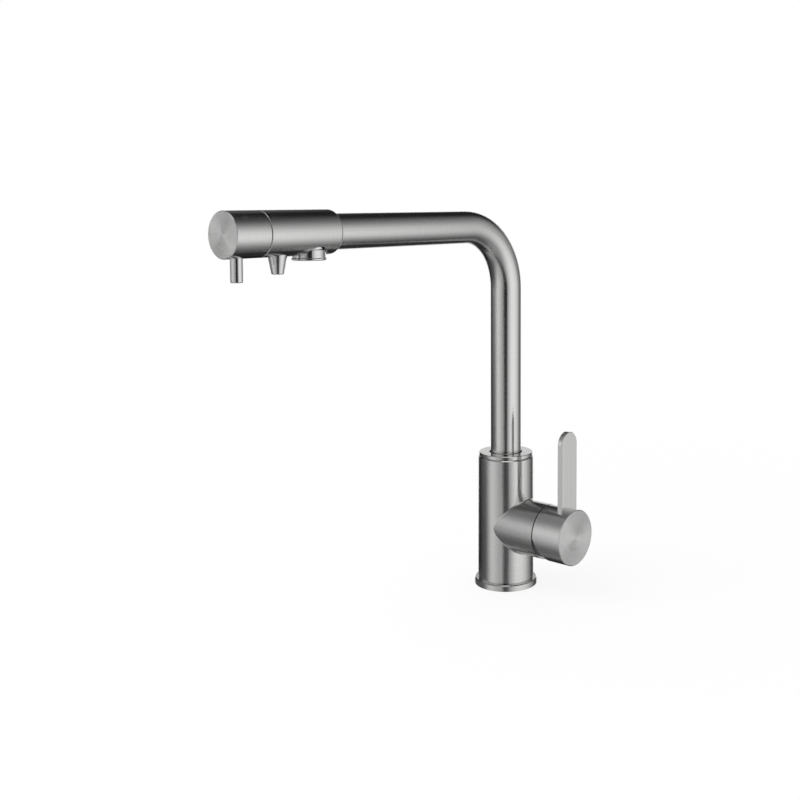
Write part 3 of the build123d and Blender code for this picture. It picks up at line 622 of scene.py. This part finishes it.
def add_floor(scene, width):
    """A pale floor that keeps the tap's shadow and turns white further out."""
    half = width / 2
    corners = [(-half, -half, 0), (half, -half, 0), (half, half, 0), (-half, half, 0)]
    mesh = bpy.data.meshes.new("floor")
    mesh.from_pydata(corners, [], [(0, 1, 2, 3)])
    floor = bpy.data.objects.new("floor", mesh)
    scene.collection.objects.link(floor)
    made, shader = material("pale_floor")
    matt = shader.node("ShaderNodeBsdfDiffuse", {}, {"Color": grey(floor_grey)})
    white = shader.node("ShaderNodeEmission", {}, {"Color": grey(1)})
    x, y = shader.axes(shader.place())[:2]
    away = shader.node(
        "ShaderNodeMapRange",
        {"interpolation_type": "SMOOTHSTEP"},
        {
            "Value": (x * x + y * y).root(),
            "From Min": matt_to,
            "From Max": white_from,
            "To Min": white_near_tap,
            "To Max": 1.0,
        },
    )
    seen = shader.node("ShaderNodeLightPath", {}, {}, "Is Camera Ray")
    shader.output(shader.cover(seen * away, matt, white))
    mesh.materials.append(made)
    floor.visible_glossy = False


def soft_edge(inside, fade):
    """0 at a card's edge, and 1 from where its fade ends."""
    if not fade:
        return 1
    part = min(max(inside / fade, 0), 1)
    return part * part * (3 - 2 * part)


def card_mesh(name, bearing, height, fades, reach):
    """A part of a ball round the tap, with an attribute that falls to 0 at its edges."""
    points = []
    marks = []
    for i in range(card_columns + 1):
        turn = bearing[0] + (bearing[1] - bearing[0]) * i / card_columns
        heading = camera_bearing - math.pi / 2 + math.radians(turn)
        for j in range(card_rows + 1):
            rise = height[0] + (height[1] - height[0]) * j / card_rows
            level_reach = reach * math.cos(math.radians(rise))
            points.append(
                (
                    card_centre.x + level_reach * math.cos(heading),
                    card_centre.y + level_reach * math.sin(heading),
                    card_centre.z + reach * math.sin(math.radians(rise)),
                )
            )
            marks.append(
                soft_edge(turn - bearing[0], fades[0])
                * soft_edge(bearing[1] - turn, fades[1])
                * soft_edge(rise - height[0], fades[2])
                * soft_edge(height[1] - rise, fades[3])
            )
    faces = []
    for i in range(card_columns):
        for j in range(card_rows):
            corner = i * (card_rows + 1) + j
            beside = corner + card_rows + 1
            faces.append((corner, beside, beside + 1, corner + 1))
    mesh = bpy.data.meshes.new(name)
    mesh.from_pydata(points, [], faces)
    cover = mesh.attributes.new("cover", "FLOAT", "POINT")
    cover.data.foreach_set("value", marks)
    return mesh


def add_card(scene, name, bearing, height, fades, reach, level):
    mesh = card_mesh(name, bearing, height, fades, reach)
    made, shader = material(name)
    mask = shader.node("ShaderNodeAttribute", {"attribute_name": "cover"}, {}, "Fac")
    clear = shader.node("ShaderNodeBsdfTransparent", {}, {})
    tone = shader.node("ShaderNodeEmission", {}, {"Color": grey(level)})
    shader.output(shader.cover(mask, clear, tone))
    made.cycles.emission_sampling = "NONE"
    mesh.materials.append(made)
    piece = bpy.data.objects.new(name, mesh)
    scene.collection.objects.link(piece)
    piece.visible_camera = False
    piece.visible_diffuse = False
    piece.visible_shadow = False
    piece.visible_transmission = False


class TAP_OT_studio(bpy.types.Operator):
    """Camera, floor, room light, soft lamp, and the cards that the metal reflects"""

    bl_idname = "tap.studio"
    bl_label = "Studio"

    def execute(self, context):
        scene = context.scene
        studio = scene.tap_studio
        scene.view_settings.view_transform = "Standard"
        add_camera(scene)
        light_room(scene, studio.room_light)
        add_lamp(scene, studio.lamp_power)
        add_floor(scene, studio.floor_size)
        for card in cards:
            add_card(scene, *card)
        return {"FINISHED"}


class TAP_PT_panel(bpy.types.Panel):
    """Finishes and studio of the tap"""

    bl_idname = "TAP_PT_panel"
    bl_label = "Kitchen mixer tap"
    bl_space_type = "VIEW_3D"
    bl_region_type = "UI"
    bl_category = "Tap"

    def draw(self, context):
        finish = context.scene.tap_finish
        studio = context.scene.tap_studio
        for name in ("steel", "steel_roughness", "grain_depth", "chrome", "brass"):
            self.layout.prop(finish, name)
        for name in ("room_light", "lamp_power", "floor_size"):
            self.layout.prop(studio, name)
        for operator in operators:
            self.layout.operator(operator.bl_idname)


operators = (
    TAP_OT_body_finish,
    TAP_OT_spout_finish,
    TAP_OT_lever_finish,
    TAP_OT_fitting_finish,
    TAP_OT_inner_finish,
    TAP_OT_studio,
)


def register():
    for made in (TapFinish, TapStudio, *operators, TAP_PT_panel):
        bpy.utils.register_class(made)
    bpy.types.Scene.tap_finish = PointerProperty(type=TapFinish)
    bpy.types.Scene.tap_studio = PointerProperty(type=TapStudio)


def unregister():
    del bpy.types.Scene.tap_studio
    del bpy.types.Scene.tap_finish
    for made in (TAP_PT_panel, *reversed(operators), TapStudio, TapFinish):
        bpy.utils.unregister_class(made)


def main():
    register()
    bpy.ops.tap.body_finish()
    bpy.ops.tap.spout_finish()
    bpy.ops.tap.lever_finish()
    bpy.ops.tap.fitting_finish()
    bpy.ops.tap.inner_finish()
    bpy.ops.tap.studio()


if __name__ == "__main__":
    main()
